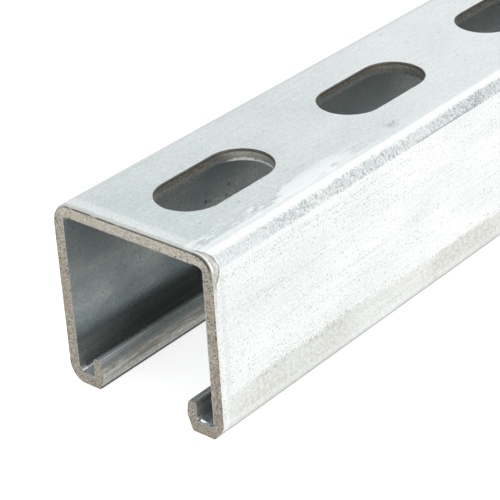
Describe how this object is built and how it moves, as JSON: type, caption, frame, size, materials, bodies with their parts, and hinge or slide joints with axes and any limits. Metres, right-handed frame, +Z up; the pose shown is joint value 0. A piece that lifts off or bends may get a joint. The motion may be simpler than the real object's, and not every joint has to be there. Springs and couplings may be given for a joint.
{
  "type": "slotted strut channel",
  "caption": "Straight steel channel with in-turned lips along its open side and a row of round-ended slots in its web, for building frames and hanging pipes.",
  "frame": {"origin": "centre of the length and of the width, at the level of the two feet that the channel lies on", "axes": "+X across the width, +Y along the length, +Z up from the feet to the slotted web"},
  "size_m": [0.0412, 0.3048, 0.0413],
  "materials": {
    "zinc_coated_steel": "pre-galvanised, dull pale grey zinc with bare sheared ends"
  },
  "bodies": {
    "root": {"strut_channel": "zinc_coated_steel"}
  },
  "joints": []
}
